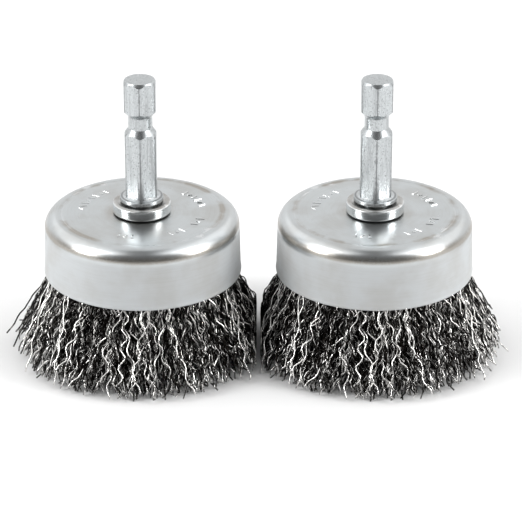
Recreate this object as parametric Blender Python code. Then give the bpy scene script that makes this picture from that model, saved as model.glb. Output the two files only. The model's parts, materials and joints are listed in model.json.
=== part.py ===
"""A pair of crimped-wire cup brushes for a drill, each on a quarter-inch hex quick-change shank.

Each brush stands on the tips of its wires. Its axis is vertical and its working face is at Z = 0. The two
brushes stand side by side along X, and the wires that meet between them are pressed back on each side of the
plane X = 0.

Every brush is a riveted stack: shank, spacer washer, drawn cup, retainer cup, backing washer. The wires are
folded over an anchor ring and clamped between the two cups. Below the clamp they are twelve tufts. Each tuft
has its origin on the axis that it flexes about, at the mouth of the cup, with its own X pointing outwards.
"""

import math

import bmesh
import bpy
from mathutils import Matrix, Vector

MM = 0.001
GAP = 0.3 * MM  # kept between pieces that touch

# The pair
SPACING = 47.2 * MM  # between the two brush axes
HALF_SPACING = SPACING / 2
FACING_CLEARANCE = 0.7 * MM  # from the wires to the plane between the brushes

# The wires below the cup
FREE_WIRE = 17.5 * MM  # from the rim of the cup down to the tips
FACE_RADIUS = 26 * MM  # of the working face: a 2 inch brush, slightly flared
INNER_FACE_RADIUS = 11 * MM
TUFTS = 12
STRANDS_ACROSS = 3
STRAND_WALL = 0.42 * MM  # left round each strand where it leaves the root of its tuft
STRAND_HALF_WIDTH = 1.1 * MM
STRAND_LEVELS = 4
STRAND_SPREAD = 0.62  # of the tuft's angle, taken up by the strands at the tips
CRIMP = 0.35 * MM
ROOT_DEPTH = 1.3 * MM
TUFT_SIDE_GAP = 0.25 * MM

# The drawn cup
CUP_HEIGHT = 12.65 * MM
CUP_TOP_RADIUS = 19.6 * MM
CUP_RIM_RADIUS = 19.95 * MM
CUP_CORNER = 3.0 * MM
SHEET = 0.9 * MM
LIP = 0.15 * MM

# The retainer cup inside it
RETAINER_RADIUS = 12.2 * MM
RETAINER_CORNER = 1.5 * MM
RETAINER_FLARE = 0.5 * MM
RETAINER_LIP_ABOVE_RIM = 1.8 * MM

# The shank and what it rivets together
ACROSS_FLATS = 6.35 * MM  # quarter-inch hex
HEX_CORNER_BEVEL = 0.6 * MM
SHANK_LENGTH = 26.2 * MM  # from the spacer washer to the end
END_FACE_RADIUS = 3.0 * MM
TURNED_RADIUS = 3.5 * MM  # of the hex corners above the groove
GROOVE_RADIUS = 2.5 * MM
GROOVE_TOP = 6.45 * MM  # these four are measured down from the end of the shank
NECK_TOP = 7.4 * MM
NECK_BOTTOM = 10.25 * MM
GROOVE_BOTTOM = 11.5 * MM
COLLAR_RADIUS = 4.5 * MM
COLLAR_HEIGHT = 0.9 * MM
COLLAR_CONE_RADIUS = 3.9 * MM
COLLAR_CONE_TOP = 2.1 * MM
TENON_RADIUS = 2.9 * MM
HOLE_RADIUS = TENON_RADIUS + GAP
HEAD_RADIUS = 4.6 * MM
HEAD_HEIGHT = 1.4 * MM
WASHER_RADIUS = 5.9 * MM
WASHER_THICKNESS = 2.2 * MM
WASHER_CHAMFER = 0.25 * MM
BACKING_RADIUS = 8.0 * MM
BACKING_THICKNESS = 1.0 * MM

# The folded wire and the ring inside the fold
ANCHOR_TUBE = 1.1 * MM
FOLD_TOP_DROP = 0.5 * MM  # from the underside of the cup to the top of the fold

CUP_STEPS = 40
ROUND_STEPS = 24
RING_STEPS = 20
ARC_STEPS = 4

# Heights that follow from the sizes above
RIM_Z = FREE_WIRE
CUP_TOP_Z = RIM_Z + CUP_HEIGHT
WASHER_BOTTOM_Z = CUP_TOP_Z + GAP
WASHER_TOP_Z = WASHER_BOTTOM_Z + WASHER_THICKNESS
SHANK_TOP_Z = WASHER_TOP_Z + SHANK_LENGTH
COLLAR_BOTTOM_Z = WASHER_TOP_Z + GAP
RETAINER_TOP_Z = CUP_TOP_Z - SHEET - GAP
RETAINER_LIP_Z = RIM_Z + RETAINER_LIP_ABOVE_RIM
BACKING_TOP_Z = RETAINER_TOP_Z - SHEET - GAP
BACKING_BOTTOM_Z = BACKING_TOP_Z - BACKING_THICKNESS
HEAD_TOP_Z = BACKING_BOTTOM_Z - GAP
FOLD_TOP_Z = CUP_TOP_Z - SHEET - FOLD_TOP_DROP
WIRE_ROOT_Z = RIM_Z + 1.0 * MM
TUFT_TOP_Z = WIRE_ROOT_Z - GAP
TUFT_ROOT_Z = TUFT_TOP_Z - ROOT_DEPTH
HINGE_Z = RIM_Z

# Radii of the channel between the two cups, which the wire fills
CHANNEL_INNER = RETAINER_RADIUS + RETAINER_FLARE + GAP
CHANNEL_OUTER = CUP_TOP_RADIUS - SHEET - GAP
CHANNEL_MIDDLE = (CHANNEL_INNER + CHANNEL_OUTER) / 2
CHANNEL_HALF_WIDTH = (CHANNEL_OUTER - CHANNEL_INNER) / 2
HINGE_RADIUS = CUP_RIM_RADIUS - SHEET

ZINC = ("zinc_plate", (0.72, 0.74, 0.75), 0.32)
BRIGHT_ZINC = ("bright_zinc", (0.78, 0.8, 0.81), 0.2)
WIRE_STEEL = ("wire_steel", (0.3, 0.29, 0.28), 0.35)


def material(name, colour, roughness):
    """The metal of that name, made once and shared."""
    found = bpy.data.materials.get(name)
    if found:
        return found
    made = bpy.data.materials.new(name)
    made.use_nodes = True
    shader = made.node_tree.nodes["Principled BSDF"]
    shader.inputs["Base Color"].default_value = (*colour, 1)
    shader.inputs["Roughness"].default_value = roughness
    shader.inputs["Metallic"].default_value = 1
    return made


def add_object(name, shape, metal, parent):
    """An object for the bmesh, smooth on its round faces, under its parent empty."""
    mesh = bpy.data.meshes.new(name)
    shape.to_mesh(mesh)
    shape.free()
    mesh.materials.append(material(*metal))
    mesh.shade_smooth()
    mesh.set_sharp_from_angle(angle=math.radians(35))
    made = bpy.data.objects.new(name, mesh)
    made.parent = parent
    bpy.context.scene.collection.objects.link(made)
    return made


def arc(centre, radius, start, end, steps=ARC_STEPS):
    """Points (radius, height) along an arc about centre, between two angles in degrees."""
    angles = [math.radians(start + (end - start) * i / steps) for i in range(steps + 1)]
    return [(centre[0] + radius * math.cos(a), centre[1] + radius * math.sin(a)) for a in angles]


def turned(profile, steps, closed=True):
    """The profile of (radius, height) points turned about Z. An open one starts and ends on the axis."""
    shape = bmesh.new()
    corners = [shape.verts.new((radius, 0, height)) for radius, height in profile]
    ends = corners[1:] + corners[:1] if closed else corners[1:]
    edges = [shape.edges.new(pair) for pair in zip(corners, ends)]
    bmesh.ops.spin(
        shape,
        geom=corners + edges,
        axis=(0, 0, 1),
        cent=(0, 0, 0),
        angle=math.tau,
        steps=steps,
        use_merge=True,
    )
    bmesh.ops.remove_doubles(shape, verts=shape.verts, dist=0.001 * MM)
    bmesh.ops.recalc_face_normals(shape, faces=shape.faces)
    return shape


def hex_bar(bottom, top):
    """A hexagonal bar with bevelled corners, one of them towards -Y."""
    shape = bmesh.new()
    corner_radius = ACROSS_FLATS / math.sqrt(3)
    bmesh.ops.create_cone(
        shape,
        cap_ends=True,
        segments=6,
        radius1=corner_radius,
        radius2=corner_radius,
        depth=top - bottom,
        matrix=Matrix.Translation((0, 0, (top + bottom) / 2)),
    )
    upright = [edge for edge in shape.edges if abs(edge.verts[0].co.z - edge.verts[1].co.z) > 1 * MM]
    bmesh.ops.bevel(
        shape,
        geom=upright,
        offset=HEX_CORNER_BEVEL,
        segments=1,
        profile=0.5,
        affect="EDGES",
        material=-1,
    )
    return shape


def shank_turning():
    """The turned shape that trims the hex bar: end chamfer, turned corners and the detent groove."""
    beyond = 6 * MM
    top = SHANK_TOP_Z
    chamfer = TURNED_RADIUS - END_FACE_RADIUS
    return turned(
        [
            (0, top),
            (END_FACE_RADIUS, top),
            (TURNED_RADIUS, top - chamfer),
            (TURNED_RADIUS, top - GROOVE_TOP),
            *arc((TURNED_RADIUS, top - NECK_TOP), NECK_TOP - GROOVE_TOP, 120, 180, 3),
            (GROOVE_RADIUS, top - NECK_TOP - 0.2 * MM),
            (GROOVE_RADIUS, top - NECK_BOTTOM),
            (beyond, top - GROOVE_BOTTOM - (beyond - ACROSS_FLATS / 2)),
            (beyond, WASHER_TOP_Z - beyond),
            (0, WASHER_TOP_Z - beyond),
        ],
        ROUND_STEPS,
        closed=False,
    )


def shank_foot():
    """Collar, tenon and rivet head, one turned shape below the hex."""
    low = COLLAR_BOTTOM_Z
    head_low = HEAD_TOP_Z - HEAD_HEIGHT
    return turned(
        [
            (0, WASHER_TOP_Z + COLLAR_CONE_TOP),
            (ACROSS_FLATS / 2 - 0.2 * MM, WASHER_TOP_Z + COLLAR_CONE_TOP),
            (COLLAR_CONE_RADIUS, WASHER_TOP_Z + COLLAR_HEIGHT + 0.4 * MM),
            (COLLAR_RADIUS, WASHER_TOP_Z + COLLAR_HEIGHT),
            (COLLAR_RADIUS, low),
            (TENON_RADIUS, low),
            (TENON_RADIUS, HEAD_TOP_Z),
            (HEAD_RADIUS, HEAD_TOP_Z),
            (HEAD_RADIUS, HEAD_TOP_Z - HEAD_HEIGHT / 2),
            (HEAD_RADIUS * 0.7, head_low),
            (0, head_low),
        ],
        ROUND_STEPS,
        closed=False,
    )


def add_helper(name, shape, parent):
    """A Boolean's other shape, which is no part of the brush."""
    helper = add_object(name, shape, ZINC, parent)
    helper.hide_render = True
    helper.display_type = "WIRE"
    return helper


def add_boolean(target, other, operation):
    cut = target.modifiers.new(operation.title(), "BOOLEAN")
    cut.operation = operation
    cut.object = other


def hex_shank(side, parent):
    """The hex drive shank: trimmed hex bar above, turned collar, tenon and rivet head below."""
    bar = hex_bar(WASHER_TOP_Z + COLLAR_HEIGHT, SHANK_TOP_Z + 1 * MM)
    shank = add_object(f"{side}_hex_shank", bar, BRIGHT_ZINC, parent)
    add_boolean(shank, add_helper(f"{side}_turning_guide", shank_turning(), parent), "INTERSECT")
    add_boolean(shank, add_helper(f"{side}_foot_guide", shank_foot(), parent), "UNION")


def spacer_washer(side, parent):
    """The thick round washer between the collar and the cup."""
    low, high, edge = WASHER_BOTTOM_Z, WASHER_TOP_Z, WASHER_CHAMFER
    profile = [
        (HOLE_RADIUS, low),
        (WASHER_RADIUS, low),
        (WASHER_RADIUS, high - edge),
        (WASHER_RADIUS - edge, high),
        (HOLE_RADIUS, high),
    ]
    add_object(f"{side}_spacer_washer", turned(profile, ROUND_STEPS), BRIGHT_ZINC, parent)


def drawn_cup(side, parent):
    """The outer cup: flat top, round corner, slightly tapered wall and a small lip at the rim."""
    top, rim = CUP_TOP_Z, RIM_Z
    corner = (CUP_TOP_RADIUS - CUP_CORNER, top - CUP_CORNER)
    outside = [
        (HOLE_RADIUS, top),
        *arc(corner, CUP_CORNER, 90, 0),
        (CUP_RIM_RADIUS, rim + 3 * LIP),
        (CUP_RIM_RADIUS + LIP, rim + LIP),
        (CUP_RIM_RADIUS, rim),
    ]
    inside = [
        (CUP_RIM_RADIUS - SHEET, rim),
        *arc(corner, CUP_CORNER - SHEET, 0, 90, 2),
        (HOLE_RADIUS, top - SHEET),
    ]
    add_object(f"{side}_cup", turned(outside + inside, CUP_STEPS), ZINC, parent)


def retainer_cup(side, parent):
    """The inner cup, which clamps the wires against the wall of the outer one."""
    top, lip = RETAINER_TOP_Z, RETAINER_LIP_Z
    corner = (RETAINER_RADIUS - RETAINER_CORNER, top - RETAINER_CORNER)
    outside = [
        (HOLE_RADIUS, top),
        *arc(corner, RETAINER_CORNER, 90, 0, 2),
        (RETAINER_RADIUS, lip + 2 * RETAINER_FLARE),
        (RETAINER_RADIUS + RETAINER_FLARE, lip),
    ]
    inside = [
        (RETAINER_RADIUS + RETAINER_FLARE - SHEET, lip),
        (RETAINER_RADIUS - SHEET, lip + 2 * RETAINER_FLARE),
        *arc(corner, RETAINER_CORNER - SHEET, 0, 90, 1),
        (HOLE_RADIUS, top - SHEET),
    ]
    add_object(f"{side}_retainer_cup", turned(outside + inside, ROUND_STEPS), ZINC, parent)


def backing_washer(side, parent):
    """The plain washer under the retainer cup that the tenon is riveted over."""
    profile = [
        (HOLE_RADIUS, BACKING_BOTTOM_Z),
        (BACKING_RADIUS, BACKING_BOTTOM_Z),
        (BACKING_RADIUS, BACKING_TOP_Z),
        (HOLE_RADIUS, BACKING_TOP_Z),
    ]
    add_object(f"{side}_backing_washer", turned(profile, ROUND_STEPS), ZINC, parent)


def wire_root(side, parent):
    """The clamped part of the wires: a band that folds over the anchor ring, with a leg on each side of it."""
    slot = ANCHOR_TUBE + GAP
    bend = CHANNEL_HALF_WIDTH * 0.6
    fold = [
        (CHANNEL_OUTER, WIRE_ROOT_Z),
        *arc((CHANNEL_OUTER - bend, FOLD_TOP_Z - bend), bend, 0, 90, 2),
        *arc((CHANNEL_INNER + bend, FOLD_TOP_Z - bend), bend, 90, 180, 2),
        (CHANNEL_INNER, WIRE_ROOT_Z),
    ]
    slot_sides = [
        (CHANNEL_MIDDLE - slot, WIRE_ROOT_Z),
        *arc((CHANNEL_MIDDLE, FOLD_TOP_Z - CHANNEL_HALF_WIDTH), slot, 180, 0, 3),
        (CHANNEL_MIDDLE + slot, WIRE_ROOT_Z),
    ]
    add_object(f"{side}_wire_root", turned(fold + slot_sides, ROUND_STEPS), WIRE_STEEL, parent)


def anchor_ring(side, parent):
    """The steel ring that the wires are folded over."""
    centre = (CHANNEL_MIDDLE, FOLD_TOP_Z - CHANNEL_HALF_WIDTH)
    ring = turned(arc(centre, ANCHOR_TUBE, 0, 300, 5), RING_STEPS)
    add_object(f"{side}_anchor_ring", ring, BRIGHT_ZINC, parent)


def strand_point(across, row, share):
    """Centre of a strand in the brush's frame, for a tuft that points along X.

    across runs from -1 to 1 over the tuft, row is 0 on the inner side and 1 on the outer, and share runs
    from 0 at the root to 1 at the tips.
    """
    root_radius = CHANNEL_MIDDLE + (row - 0.5) * CHANNEL_HALF_WIDTH
    tip_radius = FACE_RADIUS - STRAND_HALF_WIDTH if row else INNER_FACE_RADIUS + STRAND_HALF_WIDTH
    radius = root_radius + (tip_radius - root_radius) * share
    level = round(share * STRAND_LEVELS)
    sway = CRIMP * (-1) ** (level + row)
    angle = across * math.pi / TUFTS * STRAND_SPREAD + sway / radius
    return Vector((radius * math.cos(angle), radius * math.sin(angle), TUFT_ROOT_Z * (1 - share)))


def tuft_root():
    """The block that the strands leave from, and its lower faces, one for each strand."""
    shape = bmesh.new()
    bmesh.ops.create_grid(shape, x_segments=STRANDS_ACROSS, y_segments=2, size=1)
    for corner in shape.verts:
        radius = CHANNEL_MIDDLE + corner.co.y * CHANNEL_HALF_WIDTH
        angle = corner.co.x * (math.pi / TUFTS - TUFT_SIDE_GAP / radius)
        corner.co = (radius * math.cos(angle), radius * math.sin(angle), TUFT_ROOT_Z)
    cells = list(shape.faces)
    block = bmesh.ops.extrude_face_region(shape, geom=cells, use_keep_orig=True)
    lifted = [part for part in block["geom"] if isinstance(part, bmesh.types.BMVert)]
    bmesh.ops.translate(shape, verts=lifted, vec=(0, 0, ROOT_DEPTH))
    bmesh.ops.recalc_face_normals(shape, faces=shape.faces)
    bmesh.ops.inset_individual(shape, faces=cells, thickness=STRAND_WALL)
    return shape, cells


def wire_tuft(side, number, facing, parent):
    """One sector of the free wires: a root block with crimped strands, the outer ones flaring outwards.

    facing is 1 where the other brush stands at +X and -1 where it stands at -X. Strands that would meet the
    other brush's are pressed back from the plane between the two.
    """
    azimuth = math.tau * number / TUFTS
    turn = Matrix.Rotation(azimuth, 4, "Z")
    furthest = HALF_SPACING - FACING_CLEARANCE - STRAND_HALF_WIDTH
    shape, cells = tuft_root()
    for face in cells:
        centre = face.calc_center_median()
        across = math.atan2(centre.y, centre.x) * STRANDS_ACROSS * TUFTS / math.tau
        row = int(centre.x > CHANNEL_MIDDLE)
        for level in range(1, STRAND_LEVELS + 1):
            face = bmesh.ops.extrude_discrete_faces(shape, faces=[face])["faces"][0]
            aim = turn @ strand_point(across, row, level / STRAND_LEVELS)
            aim.x = facing * min(facing * aim.x, furthest)
            aim = turn.inverted() @ aim
            bmesh.ops.translate(shape, verts=face.verts, vec=aim - centre)
            centre = aim
    bmesh.ops.translate(shape, verts=shape.verts, vec=(-HINGE_RADIUS, 0, -HINGE_Z))
    tuft = add_object(f"{side}_wire_tuft_{number + 1:02d}", shape, WIRE_STEEL, parent)
    tuft.location = (HINGE_RADIUS * math.cos(azimuth), HINGE_RADIUS * math.sin(azimuth), HINGE_Z)
    tuft.rotation_euler = (0, 0, azimuth)


def brush(side, facing):
    """One whole brush, standing on the side of the plane X = 0 that the other one doesn't."""
    stand = bpy.data.objects.new(f"{side}_brush", None)
    stand.location = (-facing * HALF_SPACING, 0, 0)
    bpy.context.scene.collection.objects.link(stand)
    hex_shank(side, stand)
    spacer_washer(side, stand)
    drawn_cup(side, stand)
    retainer_cup(side, stand)
    backing_washer(side, stand)
    wire_root(side, stand)
    anchor_ring(side, stand)
    for number in range(TUFTS):
        wire_tuft(side, number, facing, stand)


def main():
    for old in list(bpy.data.objects):
        bpy.data.objects.remove(old)
    brush("left", 1)
    brush("right", -1)


main()
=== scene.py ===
"""Looks for a pair of crimped-wire cup brushes on hex shanks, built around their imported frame."""

import json
import logging
import math
import random
from dataclasses import dataclass
from enum import Enum

import bmesh
import bpy
import numpy as np
from mathutils import Matrix, Vector

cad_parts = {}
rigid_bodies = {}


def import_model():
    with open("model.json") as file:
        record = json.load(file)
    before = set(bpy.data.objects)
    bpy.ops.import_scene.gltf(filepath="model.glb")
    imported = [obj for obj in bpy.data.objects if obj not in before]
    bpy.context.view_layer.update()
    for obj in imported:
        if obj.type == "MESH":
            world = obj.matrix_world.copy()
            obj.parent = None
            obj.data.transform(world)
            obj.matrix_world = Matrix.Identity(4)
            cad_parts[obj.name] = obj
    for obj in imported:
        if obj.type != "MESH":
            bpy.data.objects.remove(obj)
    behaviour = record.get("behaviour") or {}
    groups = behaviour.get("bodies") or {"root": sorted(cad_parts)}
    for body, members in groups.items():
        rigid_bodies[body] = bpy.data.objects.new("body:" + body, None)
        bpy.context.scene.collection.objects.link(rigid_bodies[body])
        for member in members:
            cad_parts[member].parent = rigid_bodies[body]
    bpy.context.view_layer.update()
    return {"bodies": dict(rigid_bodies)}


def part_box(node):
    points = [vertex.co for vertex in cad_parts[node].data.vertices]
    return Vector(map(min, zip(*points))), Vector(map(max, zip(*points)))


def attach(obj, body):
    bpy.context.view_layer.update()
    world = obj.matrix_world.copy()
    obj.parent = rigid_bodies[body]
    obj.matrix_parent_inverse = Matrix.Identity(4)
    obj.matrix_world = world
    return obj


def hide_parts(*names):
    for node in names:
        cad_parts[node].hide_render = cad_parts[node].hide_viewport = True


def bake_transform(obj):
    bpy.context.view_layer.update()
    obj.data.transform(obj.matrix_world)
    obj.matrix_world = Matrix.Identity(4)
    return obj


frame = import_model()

MM = 0.001
TUFTS = 12

Socket = bpy.types.NodeSocket
Sockets = bpy.types.bpy_prop_collection
Colour = tuple[float, float, float]

log = logging.getLogger("cup_brushes")


class Side(Enum):
    """Which of the two brushes a piece belongs to."""

    LEFT = "left"
    RIGHT = "right"

    @property
    def facing(self) -> int:
        """The direction along X in which the other brush stands."""
        return 1 if self is Side.LEFT else -1


class Slot(Enum):
    """The record's material slots."""

    ZINC = "zinc_plate"
    BRIGHT = "bright_zinc"
    WIRE = "wire_steel"


# Node trees


@dataclass
class Tree:
    """A node tree under construction, with short ways to add and join its nodes."""

    tree: bpy.types.NodeTree

    def add(self, kind: str, **settings: object) -> bpy.types.Node:
        """Add a node.

        Args:
            kind: the node's type name without its ShaderNode prefix.
            settings: properties of the node, such as its operation.

        Returns:
            The new node.
        """
        node = self.tree.nodes.new(f"ShaderNode{kind}")
        for name, value in settings.items():
            setattr(node, name, value)
        return node

    def feed(self, source: object, target: Socket) -> None:
        """Join an output to an input, or set the input where the source is a plain value."""
        if isinstance(source, Socket):
            self.tree.links.new(source, target)
        else:
            target.default_value = source

    def math(self, operation: str, *values: object) -> Socket:
        """Add a Math node.

        Args:
            operation: the node's operation.
            values: its inputs, each an output socket or a number.

        Returns:
            The result's socket.
        """
        node = self.add("Math", operation=operation)
        for socket, value in zip(node.inputs, values):
            self.feed(value, socket)
        return node.outputs[0]

    def plus(self, first: object, second: object) -> Socket:
        """Add two values."""
        return self.math("ADD", first, second)

    def less(self, first: object, second: object) -> Socket:
        """Take the second value from the first."""
        return self.math("SUBTRACT", first, second)

    def times(self, first: object, second: object) -> Socket:
        """Multiply two values."""
        return self.math("MULTIPLY", first, second)

    def ramp(self, value: object, low: float, high: float, start: float = 0, end: float = 1) -> Socket:
        """Map a value smoothly from low..high to start..end, and hold it at the ends.

        Args:
            value: the socket to read.
            low: the value that gives start.
            high: the value that gives end.
            start: the result at low and below it.
            end: the result at high and above it.

        Returns:
            The result's socket.
        """
        node = self.add("MapRange", interpolation_type="SMOOTHSTEP")
        sources = {"Value": value, "From Min": low, "From Max": high, "To Min": start, "To Max": end}
        for name, source in sources.items():
            self.feed(source, node.inputs[name])
        return node.outputs["Result"]

    def noise(self, vector: object, scale: float, detail: float = 2, roughness: float = 0.5) -> Socket:
        """Add a Noise Texture.

        Args:
            vector: the coordinates to read it at.
            scale: how many features there are in a metre, or in a unit of the vector.
            detail: its octaves.
            roughness: how strong the finer octaves are.

        Returns:
            The socket of its value, which is mostly from 0.3 to 0.7.
        """
        node = self.add("TexNoise")
        self.feed(vector, node.inputs["Vector"])
        node.inputs["Scale"].default_value = scale
        node.inputs["Detail"].default_value = detail
        node.inputs["Roughness"].default_value = roughness
        return node.outputs["Fac"]

    def mix(self, factor: object, first: object, second: object) -> Socket:
        """Mix two colours.

        Args:
            factor: the share of the second one.
            first: a colour, or an output socket that gives one.
            second: a colour, or an output socket that gives one.

        Returns:
            The mixed colour's socket.
        """
        node = self.add("Mix", data_type="RGBA")
        self.feed(factor, node.inputs["Factor"])
        self.feed(first, node.inputs[6])
        self.feed(second, node.inputs[7])
        return node.outputs[2]


@dataclass(frozen=True)
class Effect:
    """A shader node group that several finishes share, built once under its name.

    takes holds its inputs and their first values, and gives the names of its outputs.
    """

    name: str
    takes: tuple[tuple[str, float], ...]
    gives: tuple[str, ...]

    def build(self, tree: Tree, inputs: Sockets, outputs: Sockets) -> None:
        """Build the group's nodes. Each effect has its own."""
        raise NotImplementedError

    def group(self) -> bpy.types.NodeTree:
        """Give the group's tree, building it the first time."""
        found = bpy.data.node_groups.get(self.name)
        if found:
            return found
        made = bpy.data.node_groups.new(self.name, "ShaderNodeTree")
        for name, value in self.takes:
            socket = made.interface.new_socket(name, in_out="INPUT", socket_type="NodeSocketFloat")
            socket.default_value = value
        for name in self.gives:
            made.interface.new_socket(name, in_out="OUTPUT", socket_type="NodeSocketFloat")
        inputs, outputs = made.nodes.new("NodeGroupInput").outputs, made.nodes.new("NodeGroupOutput").inputs
        self.build(Tree(made), inputs, outputs)
        return made

    def place(self, tree: Tree, **values: object) -> Sockets:
        """Place the group in a material.

        Args:
            tree: the material's tree.
            values: the group's inputs by name, with _ for a space.

        Returns:
            The placed node's outputs.
        """
        node = tree.add("Group", node_tree=self.group())
        for name, value in values.items():
            tree.feed(value, node.inputs[name.replace("_", " ")])
        return node.outputs


@dataclass(frozen=True)
class BrushAxis(Effect):
    """Where a point lies on either brush: its distance from the shank's axis, its angle and its height."""

    name: str = "brush_axis"
    takes: tuple[tuple[str, float], ...] = ()
    gives: tuple[str, ...] = ("Radius", "Angle", "Height")
    half_spacing: float = 0.0

    def build(self, tree: Tree, inputs: Sockets, outputs: Sockets) -> None:
        """Build the group: the two brushes are alike on each side of X = 0, so one formula serves both."""
        place = tree.add("SeparateXYZ")
        tree.feed(tree.add("TexCoord").outputs["Object"], place.inputs[0])
        x = tree.less(tree.math("ABSOLUTE", place.outputs[0]), self.half_spacing)
        y = place.outputs[1]
        squares = tree.plus(tree.times(x, x), tree.times(y, y))
        tree.feed(tree.math("SQRT", squares), outputs["Radius"])
        tree.feed(tree.math("ARCTAN2", y, x), outputs["Angle"])
        tree.feed(place.outputs[2], outputs["Height"])


@dataclass(frozen=True)
class TurnedLines(Effect):
    """Fine broken lines that run round the axis, as a lathe or a drawing die leaves them."""

    name: str = "turned_lines"
    takes: tuple[tuple[str, float], ...] = (
        ("Across", 0.0), ("Angle", 0.0), ("Lines per metre", 6000.0), ("Breaks", 3.0)
    )
    gives: tuple[str, ...] = ("Lines",)

    def build(self, tree: Tree, inputs: Sockets, outputs: Sockets) -> None:
        """Build the group: noise that is stretched round the axis and tight across it."""
        across = tree.times(inputs["Across"], inputs["Lines per metre"])
        around_x = tree.times(tree.math("COSINE", inputs["Angle"]), inputs["Breaks"])
        around_y = tree.times(tree.math("SINE", inputs["Angle"]), inputs["Breaks"])
        point = tree.add("CombineXYZ")
        for value, socket in zip((across, around_x, around_y), point.inputs):
            tree.feed(value, socket)
        tree.feed(tree.noise(point.outputs[0], 1, 3, 0.6), outputs["Lines"])


@dataclass(frozen=True)
class Mottle(Effect):
    """The cloudy grain of a plated surface: broad clouds and a fine crystal grain."""

    name: str = "mottle"
    takes: tuple[tuple[str, float], ...] = (("Cloud size", 0.006), ("Grain size", 0.0004))
    gives: tuple[str, ...] = ("Clouds", "Grain")

    def build(self, tree: Tree, inputs: Sockets, outputs: Sockets) -> None:
        """Build the group: two noises on the object's own coordinates."""
        place = tree.add("TexCoord").outputs["Object"]
        for size, name, detail in (("Cloud size", "Clouds", 3), ("Grain size", "Grain", 2)):
            scaled = tree.add("VectorMath", operation="SCALE")
            tree.feed(place, scaled.inputs[0])
            tree.feed(tree.math("DIVIDE", 1, inputs[size]), scaled.inputs["Scale"])
            tree.feed(tree.noise(scaled.outputs[0], 1, detail, 0.55), outputs[name])


@dataclass(frozen=True)
class EdgeWear(Effect):
    """A mask of the edges that handling has rubbed bright, 1 on a sharp outer edge and 0 on a flat."""

    name: str = "edge_wear"
    takes: tuple[tuple[str, float], ...] = (("Start", 0.52), ("Full", 0.62))
    gives: tuple[str, ...] = ("Wear",)

    def build(self, tree: Tree, inputs: Sockets, outputs: Sockets) -> None:
        """Build the group: the surface's own curvature, broken up by noise."""
        bend = tree.add("NewGeometry").outputs["Pointiness"]
        patchy = tree.noise(tree.add("TexCoord").outputs["Object"], 900, 2)
        shifted = tree.plus(bend, tree.times(tree.less(patchy, 0.5), 0.06))
        tree.feed(tree.ramp(shifted, inputs["Start"], inputs["Full"]), outputs["Wear"])


AXIS = BrushAxis(half_spacing=abs(sum(corner.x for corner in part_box("left_cup"))) / 2)
LINES = TurnedLines()
MOTTLE = Mottle()
WEAR = EdgeWear()


# Finishes


@dataclass(frozen=True)
class Finish:
    """A metal's look, made once as a material."""

    name: str
    colour: Colour
    dark: Colour
    roughness: float

    def material(self) -> bpy.types.Material:
        """Give the material, building it the first time."""
        found = bpy.data.materials.get(self.name)
        if found:
            return found
        made = bpy.data.materials.new(self.name)
        made.use_nodes = True
        shader = made.node_tree.nodes["Principled BSDF"]
        shader.inputs["Metallic"].default_value = 1
        self.build(Tree(made.node_tree), shader.inputs)
        return made

    def build(self, tree: Tree, shader: Sockets) -> None:
        """Build the nodes that feed the shader. Each finish has its own."""
        raise NotImplementedError

    def bump(self, tree: Tree, height: object, depth: float, shader: Sockets) -> None:
        """Feed a height into the shader's normal.

        Args:
            tree: the material's tree.
            height: the socket of the height, from 0 to 1.
            depth: what a height of 1 stands for, in metres.
            shader: the shader's inputs.
        """
        node = tree.add("Bump")
        node.inputs["Strength"].default_value = 1
        node.inputs["Distance"].default_value = depth
        tree.feed(height, node.inputs["Height"])
        tree.feed(node.outputs["Normal"], shader["Normal"])


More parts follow.
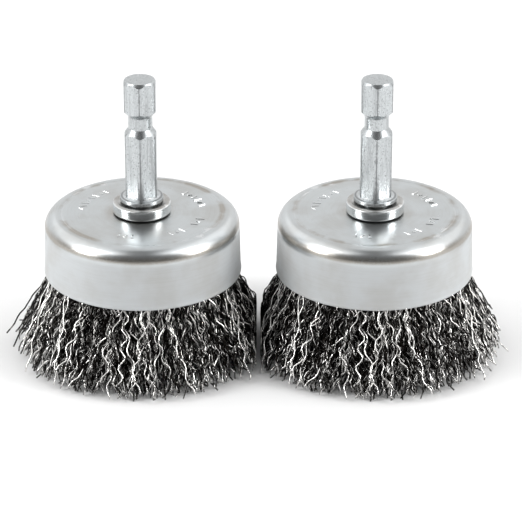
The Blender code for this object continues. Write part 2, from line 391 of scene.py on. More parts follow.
@dataclass(frozen=True)
class SatinZinc(Finish):
    """Satin zinc plate on a pressing, with faint drawing lines round it, clouds in the plate, and a painted
    dark reflection band round its corner.
    """

    name: str = "satin_zinc_look"
    colour: Colour = (0.55, 0.575, 0.585)
    dark: Colour = (0.36, 0.34, 0.31)
    worn: Colour = (0.82, 0.83, 0.83)
    roughness: float = 0.29
    wall_roughness: float = 0.6
    wall_metallic: float = 0.25
    wall_colour: Colour = (0.5, 0.52, 0.53)
    line_radius: float = 16.35 * MM
    wall_top: float = 27.2 * MM
    painted_band_top: float = 29.2 * MM
    hub_radius: float = 6 * MM

    def build(self, tree: Tree, shader: Sockets) -> None:
        """Build the nodes: turned lines, clouds, a little grime round the hub, and a painted dark reflection
        band round the corner.
        """
        place = AXIS.place(tree)
        across = tree.plus(place["Radius"], place["Height"])
        around = LINES.place(tree, Across=across, Angle=place["Angle"], Lines_per_metre=3500.0, Breaks=2.5)
        lines = around["Lines"]
        mottle = MOTTLE.place(tree, Cloud_size=0.007, Grain_size=0.00035)
        grime = tree.ramp(place["Radius"], self.hub_radius, self.hub_radius + 2.5 * MM, 0.6, 0)
        cloud = tree.ramp(mottle["Clouds"], 0.35, 0.7, 0, 0.35)
        streak = tree.ramp(lines, 0.4, 0.75, 0, 0.12)
        # Painted reflection: a dark band round the cup's corner, from the top of the wall up the bend, stands
        # for the dark room in front mirrored there; the grain breaks it up.
        low_edge = tree.ramp(place["Height"], self.wall_top, self.wall_top + 0.6 * MM)
        high_edge = tree.ramp(place["Height"], self.painted_band_top - 1.2 * MM, self.painted_band_top, 1, 0)
        broken = tree.ramp(mottle["Grain"], 0.3, 0.6, 0.6, 1)
        painted_reflection_band = tree.times(tree.times(low_edge, high_edge), broken)
        stain_and_shade = tree.plus(tree.plus(cloud, streak), tree.times(grime, mottle["Clouds"]))
        off_line = tree.math("ABSOLUTE", tree.less(place["Radius"], self.line_radius))
        near = tree.ramp(off_line, 0.15 * MM, 0.9 * MM, 0.9, 0)
        ring = tree.times(near, tree.ramp(mottle["Clouds"], 0.4, 0.65))
        stain_and_shade = tree.plus(tree.plus(stain_and_shade, painted_reflection_band), ring)
        edge = (place["Height"], self.wall_top - MM, self.wall_top)
        upper = tree.ramp(*edge)
        plate = tree.mix(upper, (*self.wall_colour, 1), (*self.colour, 1))
        colour = tree.mix(tree.math("MINIMUM", stain_and_shade, 1), plate, (*self.dark, 1))
        wear = WEAR.place(tree)["Wear"]
        tree.feed(tree.mix(tree.times(wear, 0.4), colour, (*self.worn, 1)), shader["Base Color"])
        level = tree.ramp(*edge, self.wall_roughness, self.roughness)
        metal = tree.ramp(*edge, self.wall_metallic, 1)
        tree.feed(metal, shader["Metallic"])
        rough = tree.plus(level, tree.times(tree.less(lines, 0.5), 0.08))
        tree.feed(tree.less(rough, tree.times(wear, 0.08)), shader["Roughness"])
        ripple = tree.noise(tree.add("TexCoord").outputs["Object"], 420, 1)
        height = tree.plus(tree.times(lines, 0.35), tree.times(ripple, 3))
        self.bump(tree, height, 0.005 * MM, shader)


@dataclass(frozen=True)
class BrightZinc(Finish):
    """Bright zinc plate on turned steel: sharper reflections, fine turning lines, small pits, and a painted
    dark reflection on the spacer's top.
    """

    name: str = "turned_zinc_look"
    colour: Colour = (0.64, 0.665, 0.675)
    dark: Colour = (0.3, 0.28, 0.255)
    worn: Colour = (0.86, 0.87, 0.87)
    roughness: float = 0.2
    deck_height: float = 32.42 * MM

    def build(self, tree: Tree, shader: Sockets) -> None:
        """Build the nodes: turning lines, pits where the plate is dull, and a painted dark reflection on the
        spacer's top.
        """
        place = AXIS.place(tree)
        across = tree.plus(place["Radius"], place["Height"])
        around = LINES.place(tree, Across=across, Angle=place["Angle"], Lines_per_metre=5000.0, Breaks=1.5)
        lines = around["Lines"]
        mottle = MOTTLE.place(tree, Cloud_size=0.0025, Grain_size=0.00025)
        pits = tree.ramp(mottle["Grain"], 0.6, 0.75, 0, 0.5)
        cloud = tree.ramp(mottle["Clouds"], 0.4, 0.75, 0, 0.35)
        # Painted reflection: the spacer's top, above deck_height, is mixed towards the dark colour.
        deck = tree.ramp(place["Height"], self.deck_height, self.deck_height + 0.15 * MM, 0, 0.6)
        stain_and_shade = tree.math("MINIMUM", tree.plus(tree.plus(pits, cloud), deck), 1)
        colour = tree.mix(stain_and_shade, (*self.colour, 1), (*self.dark, 1))
        wear = WEAR.place(tree)["Wear"]
        tree.feed(tree.mix(tree.times(wear, 0.5), colour, (*self.worn, 1)), shader["Base Color"])
        rough = tree.plus(self.roughness, tree.times(tree.less(lines, 0.5), 0.2))
        rough = tree.plus(rough, tree.times(stain_and_shade, 0.15))
        tree.feed(rough, shader["Roughness"])
        height = tree.less(tree.times(lines, 0.6), pits)
        self.bump(tree, height, 0.004 * MM, shader)


@dataclass(frozen=True)
class DrawnBar(Finish):
    """Bright zinc plate on drawn hex bar: streaks along its flats and dark broken lines down its corners."""

    name: str = "drawn_bar_look"
    colour: Colour = (0.53, 0.555, 0.565)
    dark: Colour = (0.2, 0.205, 0.21)
    roughness: float = 0.25
    neck_radius: float = 3.0 * MM
    foot_radius: float = 3.65 * MM
    foot_shade_radius: float = 4.15 * MM

    def build(self, tree: Tree, shader: Sockets) -> None:
        """Build the nodes: drawing streaks on the hex, turning lines on the collar, the dark corners, and a
        painted shade ring at the foot of the flare.
        """
        place = AXIS.place(tree)
        stretch = tree.add("VectorMath", operation="MULTIPLY")
        tree.feed(tree.add("TexCoord").outputs["Object"], stretch.inputs[0])
        stretch.inputs[1].default_value = (2300, 2300, 110)
        along = tree.noise(stretch.outputs[0], 1, 3, 0.6)
        around = LINES.place(tree, Across=place["Height"], Angle=place["Angle"], Breaks=1.5)["Lines"]
        foot = tree.ramp(place["Radius"], self.foot_radius, self.foot_radius + 0.1 * MM)
        lines = tree.plus(along, tree.times(tree.less(around, along), foot))
        sixth = tree.math("FRACT", tree.times(place["Angle"], 6 / math.tau))
        off_corner = tree.math("ABSOLUTE", tree.less(sixth, 0.5))
        breaks = tree.noise(tree.add("TexCoord").outputs["Object"], 1300, 3, 0.7)
        line = tree.ramp(off_corner, 0.01, tree.ramp(breaks, 0.3, 0.7, 0.02, 0.1), 1, 0)
        on_hex = tree.ramp(place["Radius"], self.neck_radius, self.neck_radius + 0.2 * MM)
        corner = tree.times(tree.times(line, on_hex), tree.less(1, foot))
        pits = tree.ramp(MOTTLE.place(tree, Cloud_size=0.003, Grain_size=0.0003)["Grain"], 0.52, 0.7, 0, 0.7)
        streak = tree.ramp(lines, 0.42, 0.72, 0, 0.4)
        stain_and_shade = tree.math("MAXIMUM", tree.math("MAXIMUM", streak, pits), tree.times(corner, 0.85))
        # Painted shade: a dark ring at the foot of the flare, where it meets the collar.
        inner = tree.ramp(place["Radius"], self.foot_radius + 0.1 * MM, self.foot_radius + 0.25 * MM)
        outer = tree.ramp(place["Radius"], self.foot_shade_radius, self.foot_shade_radius + 0.15 * MM, 0.8, 0)
        ring = tree.times(inner, outer)
        stain_and_shade = tree.math("MAXIMUM", stain_and_shade, ring)
        tree.feed(tree.mix(stain_and_shade, (*self.colour, 1), (*self.dark, 1)), shader["Base Color"])
        tree.feed(tree.plus(self.roughness, tree.times(stain_and_shade, 0.2)), shader["Roughness"])
        self.bump(tree, tree.less(lines, pits), 0.006 * MM, shader)


@dataclass(frozen=True)
class WireSteel(Finish):
    """Drawn and crimped steel wire, some wires brighter than others, and the inner wires of a tuft more often
    dark as painted shade.
    """

    name: str = "crimped_wire_look"
    colour: Colour = (0.97, 0.955, 0.93)
    dark: Colour = (0.008, 0.007, 0.006)
    roughness: float = 0.13
    patch: float = 1.7 * MM

    def build(self, tree: Tree, shader: Sockets) -> None:
        """Build the nodes: the wire's own tone, and scale that varies along it."""
        tone = tree.add("Attribute", attribute_name="tone", attribute_type="GEOMETRY").outputs["Fac"]
        scale = MOTTLE.place(tree, Cloud_size=0.0012, Grain_size=0.00012)
        shifted = tree.add("VectorMath", operation="MULTIPLY_ADD")
        tree.feed(tree.add("TexCoord").outputs["Object"], shifted.inputs[0])
        shifted.inputs[1].default_value = (1 / self.patch,) * 3
        tree.feed(tree.times(tone, 300), shifted.inputs[2])
        patches = tree.times(tree.less(tree.noise(shifted.outputs[0], 1, 1), 0.5), 1.9)
        bright = tree.ramp(tree.plus(tone, patches), 0.1, 0.9)
        tree.feed(tree.mix(bright, (*self.dark, 1), (*self.colour, 1)), shader["Base Color"])
        rough = tree.times(tree.less(scale["Grain"], 0.5), 0.3)
        tree.feed(tree.plus(self.roughness, rough), shader["Roughness"])
        self.bump(tree, scale["Grain"], 0.006 * MM, shader)


SATIN = SatinZinc()
BRIGHT = BrightZinc()
BAR = DrawnBar()
WIRE = WireSteel()


# Turned shapes

Corner = tuple[float, float, float]


def rounded(corners: list[Corner], steps: int = 4) -> list[tuple[float, float]]:
    """Round the corners of an outline.

    Args:
        corners: (radius, height, fillet) for each corner, along an open outline. A fillet of 0 stays sharp.
        steps: the edges in each rounded corner.

    Returns:
        The (radius, height) points of the rounded outline.
    """
    points = []
    for index, (radius, height, fillet) in enumerate(corners):
        here = Vector((radius, height))
        if not fillet or index in (0, len(corners) - 1):
            points.append((radius, height))
            continue
        back = (Vector(corners[index - 1][:2]) - here).normalized()
        on = (Vector(corners[index + 1][:2]) - here).normalized()
        half = back.angle(on) / 2
        centre = here + (back + on).normalized() * fillet / math.sin(half)
        reach = fillet / math.tan(half)
        first, last = (here + back * reach - centre).normalized(), (here + on * reach - centre).normalized()
        for step in range(steps + 1):
            place = centre + first.slerp(last, step / steps) * fillet
            points.append((place.x, place.y))
    return points


def turned(outline: list[tuple[float, float]], steps: int, closed: bool) -> bmesh.types.BMesh:
    """Turn an outline about Z into a closed shape.

    Args:
        outline: (radius, height) points. An open outline starts and ends on the axis.
        steps: the sides of the round shape.
        closed: whether the outline's last point joins its first.

    Returns:
        The shape, with its faces pointing out.
    """
    shape = bmesh.new()
    corners = [shape.verts.new((radius, 0, height)) for radius, height in outline]
    follow = corners[1:] + corners[:1] if closed else corners[1:]
    edges = [shape.edges.new(pair) for pair in zip(corners, follow)]
    bmesh.ops.spin(
        shape, geom=corners + edges, axis=(0, 0, 1), cent=(0, 0, 0), angle=math.tau, steps=steps,
        use_merge=True,
    )
    bmesh.ops.remove_doubles(shape, verts=shape.verts, dist=0.002 * MM)
    bmesh.ops.recalc_face_normals(shape, faces=shape.faces)
    return shape


def bevelled(shape: bmesh.types.BMesh, edges: list[bmesh.types.BMEdge], width: float, segments: int) -> None:
    """Round some edges of a shape, over a width in metres and in that many segments."""
    bmesh.ops.bevel(
        shape, geom=edges, offset=width, segments=segments, profile=0.5, affect="EDGES", material=-1
    )


def finished(name: str, shape: bmesh.types.BMesh, finish: Finish, sharp: float = 38) -> bpy.types.Object:
    """Make a shape an object, smooth but for its sharp edges.

    Args:
        name: the object's name.
        shape: its shape in the frame, which this frees.
        finish: what it is made of.
        sharp: the angle in degrees past which an edge stays sharp.

    Returns:
        The object, in the scene.
    """
    mesh = bpy.data.meshes.new(name)
    shape.to_mesh(mesh)
    shape.free()
    mesh.materials.append(finish.material())
    mesh.shade_smooth()
    mesh.set_sharp_from_angle(angle=math.radians(sharp))
    made = bpy.data.objects.new(name, mesh)
    bpy.context.scene.collection.objects.link(made)
    return made


def evaluated(source: bpy.types.Object) -> bpy.types.Mesh:
    """Give an object's mesh with its modifiers applied, or a curve as a mesh."""
    graph = bpy.context.evaluated_depsgraph_get()
    return bpy.data.meshes.new_from_object(source.evaluated_get(graph), depsgraph=graph)


# The brush


@dataclass
class Place:
    """Where one brush stands, read from the frame."""

    side: Side

    def __post_init__(self) -> None:
        """Read the heights and radii that the pieces share."""
        self.axis_x = -self.side.facing * AXIS.half_spacing
        self.rim_z, self.top_z, self.rim_radius = self.span("cup")
        self.rivet_z, self.end_z, _ = self.span("hex_shank")
        self.washer_z, self.collar_z, self.washer_radius = self.span("spacer_washer")
        self.retainer_lip_z, self.retainer_z, self.retainer_radius = self.span("retainer_cup")
        self.backing_low_z, self.backing_z, self.backing_radius = self.span("backing_washer")

    def span(self, name: str) -> tuple[float, float, float]:
        """Give a round CAD node's lowest height, highest height and radius."""
        low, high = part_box(self.node(name))
        return low.z, high.z, (high.x - low.x) / 2

    @property
    def head(self) -> str:
        """The body of the brush's riveted pieces."""
        return f"{self.side.value}_brush"

    def node(self, name: str) -> str:
        """The CAD node of that name on this brush."""
        return f"{self.side.value}_{name}"

    def stand(self, shape: bmesh.types.BMesh) -> bmesh.types.BMesh:
        """Move a shape that was made about Z to the brush's own axis."""
        bmesh.ops.translate(shape, verts=shape.verts, vec=(self.axis_x, 0, 0))
        return shape

    def fit(self, piece: bpy.types.Object, slot: Slot, *nodes: str) -> None:
        """Put a piece on the brush's head in place of some of its CAD nodes.

        Args:
            piece: the finished piece.
            slot: the record's slot that the piece stands for; not used.
            nodes: the CAD nodes that it stands for, without the side.
        """
        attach(piece, self.head)
        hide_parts(*(self.node(name) for name in nodes))
        log.info("%s: %d faces", piece.name, len(piece.data.polygons))


@dataclass
class Shank:
    """The hex shank, with its detent groove, collar, tenon and riveted head."""

    across_flats: float = 6.35 * MM
    corner_bevel: float = 0.62 * MM
    end_radius: float = 3.0 * MM
    turned_radius: float = 3.53 * MM
    chamfer: float = 0.85 * MM
    groove_radius: float = 2.45 * MM
    upper_hex: float = 6.4 * MM
    neck_top: float = 7.6 * MM
    neck_bottom: float = 10.2 * MM
    groove_bottom: float = 11.7 * MM
    collar_radius: float = 4.4 * MM
    collar_height: float = 1.1 * MM
    flare_top: float = 2.8 * MM
    flare_radius: float = 2.9 * MM
    tenon_radius: float = 2.9 * MM
    head_radius: float = 4.6 * MM
    steps: int = 96

    def bar(self, place: Place) -> bmesh.types.BMesh:
        """Make the drawn hex bar, with its corners rounded and one of them towards -Y."""
        low, high = place.collar_z + self.collar_height, place.end_z + 1 * MM
        shape = bmesh.new()
        radius = self.across_flats / math.sqrt(3)
        middle = Matrix.Translation((0, 0, (low + high) / 2))
        bmesh.ops.create_cone(
            shape, cap_ends=True, segments=6, radius1=radius, radius2=radius, depth=high - low, matrix=middle
        )
        upright = [edge for edge in shape.edges if abs(edge.verts[0].co.z - edge.verts[1].co.z) > 1 * MM]
        bevelled(shape, upright, self.corner_bevel, 3)
        return shape

    def turning(self, place: Place) -> bmesh.types.BMesh:
        """Make the turned shape that the bar is cut to."""
        top, beyond = place.end_z, 6 * MM
        corners = [
            (0, top, 0),
            (self.end_radius, top, 0.1 * MM),
            (self.turned_radius, top - self.chamfer, 0),
            (self.turned_radius, top - self.upper_hex, 0.2 * MM),
            (self.groove_radius, top - self.neck_top, 1.0 * MM),
            (self.groove_radius, top - self.neck_bottom, 0.15 * MM),
            (self.turned_radius, top - self.groove_bottom, 0),
            (beyond, top - self.groove_bottom - 0.4 * MM, 0),
            (beyond, place.collar_z - beyond, 0),
            (0, place.collar_z - beyond, 0),
        ]
        return turned(rounded(corners, 5), self.steps, closed=False)

    def foot(self, place: Place) -> bmesh.types.BMesh:
        """Make the flare, collar, tenon and riveted head below the hex."""
        deck = place.collar_z
        backing = place.backing_low_z - 0.3 * MM
        corners = [
            (0, deck + self.flare_top, 0),
            (self.flare_radius, deck + self.flare_top, 0),
            (self.flare_radius, deck + self.collar_height, 1.35 * MM),
            (self.collar_radius, deck + self.collar_height, 0.12 * MM),
            (self.collar_radius, deck + 0.3 * MM, 0.1 * MM),
            (self.tenon_radius, deck + 0.3 * MM, 0),
            (self.tenon_radius, backing, 0),
            (self.head_radius, backing, 0.12 * MM),
            (self.head_radius, backing - 0.55 * MM, 0.35 * MM),
            (self.head_radius * 0.62, place.rivet_z, 0.8 * MM),
            (self.head_radius * 0.3, place.rivet_z, 0.2 * MM),
            (self.head_radius * 0.2, place.rivet_z + 0.25 * MM, 0.2 * MM),
            (0, place.rivet_z + 0.25 * MM, 0),
        ]
        return turned(rounded(corners, 5), self.steps, closed=False)

    def build(self, place: Place) -> None:
        """Cut the bar to its turned shape, join the foot, and fit the shank to its brush."""
        name = f"{place.side.value}_shank"
        piece = finished(name, place.stand(self.bar(place)), BAR)
        others = [
            finished(f"{name}_turning", place.stand(self.turning(place)), BAR),
            finished(f"{name}_foot", place.stand(self.foot(place)), BAR),
        ]
        for other, operation in zip(others, ("INTERSECT", "UNION")):
            cut = piece.modifiers.new(operation.title(), "BOOLEAN")
            cut.operation, cut.object = operation, other
        result = evaluated(piece)
        piece.modifiers.clear()
        piece.data = result
        result.name = name
        result.shade_smooth()
        result.set_sharp_from_angle(angle=math.radians(24))
        for other in others:
            bpy.data.objects.remove(other)
        place.fit(piece, Slot.BRIGHT, "hex_shank")


@dataclass
class Hub:
    """The spacer washer on the cup and the backing washer inside it."""

    bore: float = 3.2 * MM
    rim_round: float = 0.3 * MM
    dish: float = 0.12 * MM
    steps: int = 96

    def spacer(self, place: Place) -> bpy.types.Object:
        """Make the thick spacer washer, turned, with a rounded rim and a slightly dished top."""
        low, high, radius = place.washer_z, place.collar_z, place.washer_radius
        corners = [
            (self.bore, low, 0),
            (radius - 0.1 * MM, low, 0.1 * MM),
            (radius, low + 0.25 * MM, 0.2 * MM),
            (radius, high - 0.2 * MM, self.rim_round),
            (radius - 0.75 * MM, high, 0.25 * MM),
            (radius - 1.2 * MM, high - self.dish, 0.2 * MM),
            (self.bore, high - self.dish, 0),
        ]
        shape = turned(rounded(corners), self.steps, closed=True)
        return finished(f"{place.side.value}_spacer", place.stand(shape), BRIGHT)

    def backing(self, place: Place) -> bpy.types.Object:
        """Make the blanked backing washer, with a rolled edge on the die's side."""
        low, high, radius = place.backing_low_z, place.backing_z, place.backing_radius
        corners = [
            (self.bore, low, 0),
            (radius, low, 0.3 * MM),
            (radius, high, 0.06 * MM),
            (self.bore, high, 0),
        ]
        shape = turned(rounded(corners), self.steps, closed=True)
        return finished(f"{place.side.value}_backing", place.stand(shape), SATIN)

    def build(self, place: Place) -> None:
        """Make both washers and fit them to their brush."""
        place.fit(self.spacer(place), Slot.BRIGHT, "spacer_washer")
        place.fit(self.backing(place), Slot.ZINC, "backing_washer")


@dataclass
class Cups:
    """The drawn outer cup, with its stamped strokes, and the retainer cup inside it."""

    bore: float = 3.2 * MM
    sheet: float = 0.9 * MM
    corner: float = 2.9 * MM
    wall_taper: float = 0.32 * MM
    draw_line_radius: float = 16.35 * MM
    draw_line_depth: float = 0.09 * MM
    lip: float = 0.1 * MM
    steps: int = 160
    stroke_radius: float = 12.4 * MM
    stroke_length: float = 1.5 * MM
    stroke_width: float = 0.55 * MM
    stroke_height: float = 0.24 * MM
    stroke_pitch: float = 6.5
    stroke_arcs: tuple[tuple[float, int, float], ...] = (
        (14, 6, 1.0), (-30, 3, 0.5), (-60, 3, 0.3), (128, 8, 0.3), (-110, 3, 0.25)
    )

    def strokes(self, shape: bmesh.types.BMesh, top: float) -> None:
        """Add the plain slanted strokes to the cup's flat top, in short arcs.

        Each arc is its first angle in degrees, how many strokes it has and its share of the full height.

        Args:
            shape: the cup's shape, about Z.
            top: the height of its flat top.
        """
        for start, count, strength in self.stroke_arcs:
            for index in range(count):
                length = self.stroke_length * (1.0, 0.7, 1.2)[index % 3]
                slant = Matrix.Rotation(math.radians((18, -24, 8)[index % 3]), 4, "Z")
                made = bmesh.ops.create_cube(shape, size=1)["verts"]
                size = Matrix.Diagonal((length, self.stroke_width, 2 * self.stroke_height * strength, 1))
                turn = Matrix.Rotation(math.radians(start + index * self.stroke_pitch), 4, "Z")
                spot = turn @ Matrix.Translation((self.stroke_radius, 0, top)) @ slant @ size
                bmesh.ops.transform(shape, verts=made, matrix=spot)
                edges = {edge for vert in made for edge in vert.link_edges}
                upper = [edge for edge in edges if min(vert.co.z for vert in edge.verts) > top]
                bevelled(shape, upper, self.stroke_height * strength * 0.9, 2)

    def outer(self, place: Place) -> bpy.types.Object:
        """Make the outer cup: flat top, draw line, round corner, slightly tapered wall, rolled lip."""
        top, rim = place.top_z, place.rim_z
        wide = place.rim_radius - self.lip
        narrow = wide - self.wall_taper
        line = self.draw_line_radius
        corners = [
            (self.bore, top, 0),
            (place.washer_radius, top, 0),
            (line * 0.6, top, 0),
            (line * 0.9, top, 0),
            (line - 0.25 * MM, top, 0),
            (line, top - self.draw_line_depth, 0.1 * MM),
            (line + 0.25 * MM, top, 0),
            (narrow, top, self.corner),
            (wide, rim + 0.75 * MM, 0.5 * MM),
            (place.rim_radius, rim + 0.34 * MM, 0.16 * MM),
            (place.rim_radius - 0.05 * MM, rim, 0.14 * MM),
            (wide - self.sheet, rim, 0.18 * MM),
            (narrow - self.sheet, top - self.sheet, self.corner - self.sheet),
            (self.bore, top - self.sheet, 0),
        ]
        shape = turned(rounded(corners, 8), self.steps, closed=True)
        self.strokes(shape, top)
        return finished(f"{place.side.value}_cup_shell", place.stand(shape), SATIN, 30)

    def retainer(self, place: Place) -> bpy.types.Object:
        """Make the retainer cup, flared at its lip so that it doesn't cut the wires."""
        top, lip = place.retainer_z, place.retainer_lip_z
        wide = place.retainer_radius
        narrow = wide - 0.5 * MM
        corners = [
            (self.bore, top, 0),
            (narrow, top, 1.5 * MM),
            (narrow, lip + 1.2 * MM, 0.8 * MM),
            (wide, lip + 0.1 * MM, 0.12 * MM),
            (wide - 0.2 * MM, lip, 0.12 * MM),
            (wide - self.sheet, lip, 0.12 * MM),
            (narrow - self.sheet, lip + 1.3 * MM, 0.5 * MM),
            (narrow - self.sheet, top - self.sheet, 0.6 * MM),
            (self.bore, top - self.sheet, 0),
        ]
        shape = turned(rounded(corners, 6), 112, closed=True)
        return finished(f"{place.side.value}_retainer", place.stand(shape), SATIN)

    def build(self, place: Place) -> None:
        """Make both cups and fit them to their brush."""
        place.fit(self.outer(place), Slot.ZINC, "cup")
        place.fit(self.retainer(place), Slot.ZINC, "retainer_cup")


@dataclass
class Strand:
    """One length of crimped wire: the points that it follows and how bright it is."""

    points: list[Vector]
    tone: float


@dataclass
class WireFill:
    """The crimped wires: folded over the anchor ring, clamped in the cup, and spread below it in tufts."""

    wire_radius: float = 0.155 * MM
    sides: int = 4
    crimp_height: float = 0.56 * MM
    crimp_length: float = 4.5 * MM
    wires_per_tuft: int = 150
    inner_face: float = 10.6 * MM
    outer_face: float = 28.2 * MM
    root_height: float = 2.0 * MM
    facing_clearance: float = 0.5 * MM
    folds: int = 220
    clumps: int = 4
    clump_pull: float = 0.25
    lean: float = 13.0
    flat_tips: float = 25.0 * MM
    shades: tuple[tuple[float, float], ...] = ((0.0, 0.2), (0.3, 0.55), (0.75, 1.0))
    bend_reach: float = 1.2 * MM
    seed: int = 7

    def lay(self, path: list[Vector], dice: random.Random) -> list[Vector]:
        """Crimp a wire along its path.

        Args:
            path: evenly spaced points of the straight or bent wire, from its root.
            dice: where the crimp's phase, plane and height come from.

        Returns:
            The crimped points: two on each crest, so that the runs between crests are straight.
        """
        lengths = [0.0]
        for before, after in zip(path, path[1:]):
            lengths.append(lengths[-1] + (after - before).length)
        total = lengths[-1]
        wave = self.crimp_length * dice.uniform(0.85, 1.35)
        height = self.crimp_height * dice.uniform(0.7, 1.25)
        plane = dice.gauss(0, 0.6) + dice.choice((0, math.pi))
        phase = dice.random()
        stations = [0.0]
        half = -phase
        while half * wave / 2 < total:
            for crest in (0.31, 0.69):
                along = (half + crest) * wave / 2
                if 0.3 * MM < along < total - 0.3 * MM:
                    stations.append(along)
            half += 1
        stations.append(total)
        points = []
        for along in stations:
            index = min(max(np.searchsorted(lengths, along) - 1, 0), len(path) - 2)
            share = (along - lengths[index]) / (lengths[index + 1] - lengths[index])
            here = path[index].lerp(path[index + 1], share)
            run = (path[index + 1] - path[index]).normalized()
            around = Vector((-here.y, here.x, 0))
            side = (around - run * around.dot(run)).normalized()
            side.rotate(Matrix.Rotation(plane + dice.uniform(-0.25, 0.25), 3, run))
            swing = math.sin(math.pi * (2 * along / wave + phase))
            points.append(here + side * height * swing)
        return points

    def free_wire(self, place: Place, tuft: int, dice: random.Random) -> Strand:
        """Lay one wire of a tuft, from the cup's channel to its tip.

        Args:
            place: the brush.
            tuft: the tuft's number, from 0.
            dice: where the wire's own differences come from.

        Returns:
            The wire.
        """
        share = dice.random() ** 0.7
        sector = math.tau / TUFTS
        across = dice.uniform(-0.5, 0.5)
        azimuth = sector * (tuft + across)
        clump = (math.floor(across * self.clumps) + 0.5) / self.clumps
        lean = math.radians(dice.gauss(0, self.lean)) * (0.3 + 0.7 * share)
        lean += sector * (clump - across) * self.clump_pull
        channel_in = place.retainer_radius + 0.4 * MM
        channel_out = place.rim_radius - 1.3 * MM
        root = channel_in + share * (channel_out - channel_in)
        tip = self.inner_face + share * (self.outer_face - self.inner_face) + dice.gauss(0, 0.7 * MM)
        if dice.random() < 0.1 and share > 0.6:
            tip += dice.uniform(0.3, 1.6) * MM
        drop = max(0.0, tip - self.flat_tips) * dice.uniform(0.2, 1.4) + abs(dice.gauss(0, 0.6 * MM))
        top = place.rim_z + self.root_height
        path = []
        for step in range(9):
            along = step / 8
            height = top + (drop - top) * along
            below = min(max((place.rim_z - height) / place.rim_z, 0), 1)
            radius = root + (tip - root) * below ** (1.25 - 0.1 * share)
            angle = azimuth + lean * below
            point = Vector((radius * math.cos(angle), radius * math.sin(angle), height))
            path.append(point)
        points = self.lay(path, dice)
        limit = abs(place.axis_x) - self.facing_clearance - dice.random() ** 2 * 1.6 * MM
        facing = place.side.facing
        for point in points:
            point.x = facing * min(facing * point.x, limit)
            point.x += place.axis_x
            point.z = max(point.z, self.wire_radius)
        # Painted shade: wires further in are more often given a dark tone, and the outer ones a bright one.
        low, high = dice.choices(self.shades, (60, 26, 12 + 26 * share**2))[0]
        return Strand(points, dice.uniform(low, high))

    def fold(self, place: Place, index: int, dice: random.Random) -> Strand:
        """Lay one folded root: up one side of the anchor ring, over it and down the other."""
        ring_low, ring_high, ring_radius = place.span("anchor_ring")
        tube, centre_z = (ring_high - ring_low) / 2, (ring_high + ring_low) / 2
        middle = ring_radius - tube
        reach = tube + dice.uniform(0.35, 0.95) * MM
        low = place.rim_z + self.root_height - 0.4 * MM
        angle = math.tau * (index + dice.uniform(-0.4, 0.4)) / self.folds
        outline = [(-reach, low), (-reach, (low + centre_z) / 2)]
        outline += [(reach * math.cos(a), centre_z + reach * math.sin(a)) for a in np.linspace(math.pi, 0, 6)]
        outline += [(reach, (low + centre_z) / 2), (reach, low)]
        points = []
        for out, height in outline:
            radius = middle + out
            sway = dice.uniform(-0.2, 0.2) * MM / radius
            x, y = radius * math.cos(angle + sway), radius * math.sin(angle + sway)
            points.append(Vector((place.axis_x + x, y, height)))
        return Strand(points, dice.uniform(0.2, 0.6))

    def draw(self, name: str, strands: list[Strand]) -> bpy.types.Object:
        """Draw wires as one mesh piece.

        Args:
            name: the piece's name.
            strands: its wires.

        Returns:
            The piece. Its tone attribute holds each wire's brightness.
        """
        curve = bpy.data.curves.new(name, "CURVE")
        curve.dimensions = "3D"
        curve.bevel_depth = self.wire_radius
        curve.bevel_resolution = 0
        curve.use_fill_caps = True
        for strand in strands:
            spline = curve.splines.new("POLY")
            spline.points.add(len(strand.points) - 1)
            spline.points.foreach_set("co", [value for point in strand.points for value in (*point, 1)])
        holder = bpy.data.objects.new(name, curve)
        bpy.context.scene.collection.objects.link(holder)
        mesh = evaluated(holder)
        bpy.data.objects.remove(holder)
        bpy.data.curves.remove(curve)
        mesh.name = name
        tones = [strand.tone for strand in strands for _ in range(self.sides * (len(strand.points) + 2))]
        attribute = mesh.attributes.new("tone", "FLOAT", "POINT")
        attribute.data.foreach_set("value", tones)
        shape = bmesh.new()
        shape.from_mesh(mesh)
        bmesh.ops.remove_doubles(shape, verts=shape.verts, dist=0.001 * MM)
        shape.to_mesh(mesh)
        shape.free()
        mesh.materials.clear()
        mesh.materials.append(WIRE.material())
        mesh.shade_smooth()
        piece = bpy.data.objects.new(name, mesh)
        bpy.context.scene.collection.objects.link(piece)
        return piece

    def tuft(self, place: Place, number: int, dice: random.Random) -> None:
        """Make one tuft, and attach it to the head unless the tuft has a body of its own."""
        strands = [self.free_wire(place, number, dice) for _ in range(self.wires_per_tuft)]
        piece = self.draw(f"{place.side.value}_wires_{number + 1:02d}", strands)
        body = f"{place.side.value}_tuft_{number + 1:02d}"
        if body in frame["bodies"]:
            angle = math.tau * number / TUFTS
            middle = Vector((math.cos(angle), math.sin(angle), 0)) * place.rim_radius * 0.8
            middle.x += place.axis_x
            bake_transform(piece)
        else:
            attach(piece, place.head)
        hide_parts(place.node(f"wire_tuft_{number + 1:02d}"))
        log.info("%s: %d wires, %d faces", piece.name, len(strands), len(piece.data.polygons))

    def build(self, place: Place) -> None:
        """Make the folded roots and the tufts of a brush."""
        dice = random.Random(self.seed)
        roots = [self.fold(place, index, dice) for index in range(self.folds)]
        place.fit(self.draw(f"{place.side.value}_folded_roots", roots), Slot.WIRE, "wire_root")
        for number in range(TUFTS):
            self.tuft(place, number, dice)


@dataclass
class AnchorRing:
    """The drawn steel ring inside the fold of the wires."""

    sides: int = 16
    steps: int = 96

    def build(self, place: Place) -> None:
        """Make the ring from its CAD box and fit it to its brush."""
        low, high, radius = place.span("anchor_ring")
        tube = (high - low) / 2
        turns = [math.tau * index / self.sides for index in range(self.sides)]
        outline = [(radius - tube + tube * math.cos(a), low + tube + tube * math.sin(a)) for a in turns]
        shape = turned(outline, self.steps, closed=True)
        piece = finished(f"{place.side.value}_ring", place.stand(shape), BRIGHT)
        place.fit(piece, Slot.BRIGHT, "anchor_ring")


# The studio


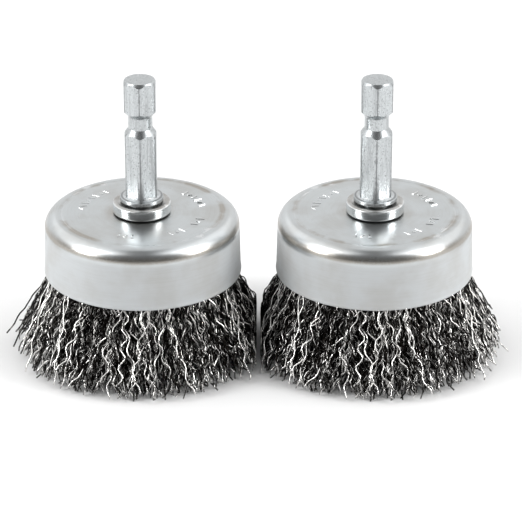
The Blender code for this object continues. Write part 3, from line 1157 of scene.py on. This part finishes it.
@dataclass
class Studio:
    """A plain pale floor, soft light and the camera."""

    elevation: float = 25.3
    distance: float = 0.592
    view_width: float = 0.1066
    aim: tuple[float, float, float] = (0.0005, 0.0, 0.019)
    sensor: float = 36.0
    floor_size: float = 8.0
    wing_level: float = 1.5
    back_level: float = 1.02
    dark_level: float = 0.15
    lamps: tuple[tuple[str, tuple[float, float, float], float, float], ...] = (
        ("high_box", (0.6, -0.2, 0.62), 0.4, 1.5),
        ("low_box", (0.56, -0.21, 0.21), 0.2, 1.6),
    )

    def camera(self) -> None:
        """Stand the camera in front of the brushes, looking down on them."""
        data = bpy.data.cameras.new("camera")
        data.sensor_width = self.sensor
        data.lens = self.sensor * self.distance / self.view_width
        data.clip_start = 0.01
        camera = bpy.data.objects.new("camera", data)
        tilt = math.radians(self.elevation)
        back = Vector((0, -math.cos(tilt), math.sin(tilt)))
        camera.location = Vector(self.aim) + back * self.distance
        camera.rotation_euler = (math.pi / 2 - tilt, 0, 0)
        bpy.context.scene.collection.objects.link(camera)
        bpy.context.scene.camera = camera

    def floor(self) -> None:
        """Lay the pale floor."""
        shape = bmesh.new()
        bmesh.ops.create_grid(shape, x_segments=1, y_segments=1, size=self.floor_size / 2)
        mesh = bpy.data.meshes.new("floor")
        shape.to_mesh(mesh)
        shape.free()
        paper = bpy.data.materials.new("white_paper")
        paper.use_nodes = True
        shader = paper.node_tree.nodes["Principled BSDF"].inputs
        shader["Base Color"].default_value = (0.84, 0.84, 0.84, 1)
        shader["Roughness"].default_value = 0.95
        shader["Specular IOR Level"].default_value = 0.1
        mesh.materials.append(paper)
        floor = bpy.data.objects.new("floor", mesh)
        bpy.context.scene.collection.objects.link(floor)

    def softbox(self, name: str, place: Vector, size: float, power: float) -> None:
        """Hang a square soft light that points at the brushes.

        Args:
            name: the light's name.
            place: where it hangs.
            size: its width.
            power: its power in watts.
        """
        data = bpy.data.lights.new(name, "AREA")
        data.size = size
        data.energy = power
        light = bpy.data.objects.new(name, data)
        light.location = place
        light.rotation_euler = (Vector(self.aim) - place).to_track_quat("-Z", "Y").to_euler()
        bpy.context.scene.collection.objects.link(light)

    def room(self) -> None:
        """Light the room: bright above on each side and behind, dark in front and low down."""
        world = bpy.data.worlds.new("studio")
        bpy.context.scene.world = world
        world.use_nodes = True
        tree = Tree(world.node_tree)
        background = world.node_tree.nodes["Background"]
        direction = tree.add("SeparateXYZ")
        tree.feed(tree.add("TexCoord").outputs["Generated"], direction.inputs[0])
        x, y, z = direction.outputs
        beside = tree.ramp(tree.math("ABSOLUTE", x), 0.14, 0.34)
        above = tree.times(tree.ramp(z, 0.26, 0.42), tree.ramp(y, -0.6, -0.4))
        wings = tree.times(tree.times(beside, above), self.wing_level)
        back = tree.ramp(y, 0.0, 0.35, self.dark_level, self.back_level)
        level = tree.math("MAXIMUM", wings, back)
        tree.feed(level, background.inputs["Strength"])
        background.inputs["Color"].default_value = (1.0, 1.0, 1.0, 1)

    def build(self) -> None:
        """Set up the camera, the floor, the lights and the room."""
        self.camera()
        self.floor()
        for side in (-1, 1):
            for name, (x, y, z), size, power in self.lamps:
                self.softbox(f"{name}_{side + 2}", Vector((side * x, y, z)), size, power)
        self.room()
        bpy.context.scene.view_settings.view_transform = "Standard"
        log.info("studio ready")


def main() -> None:
    """Build both brushes and the studio."""
    logging.basicConfig(level=logging.INFO, format="%(name)s: %(message)s")
    for side in Side:
        for assembly in (Shank(), Hub(), Cups(), AnchorRing(), WireFill()):
            assembly.build(Place(side))
    Studio().build()


if __name__ == "__main__":
    main()
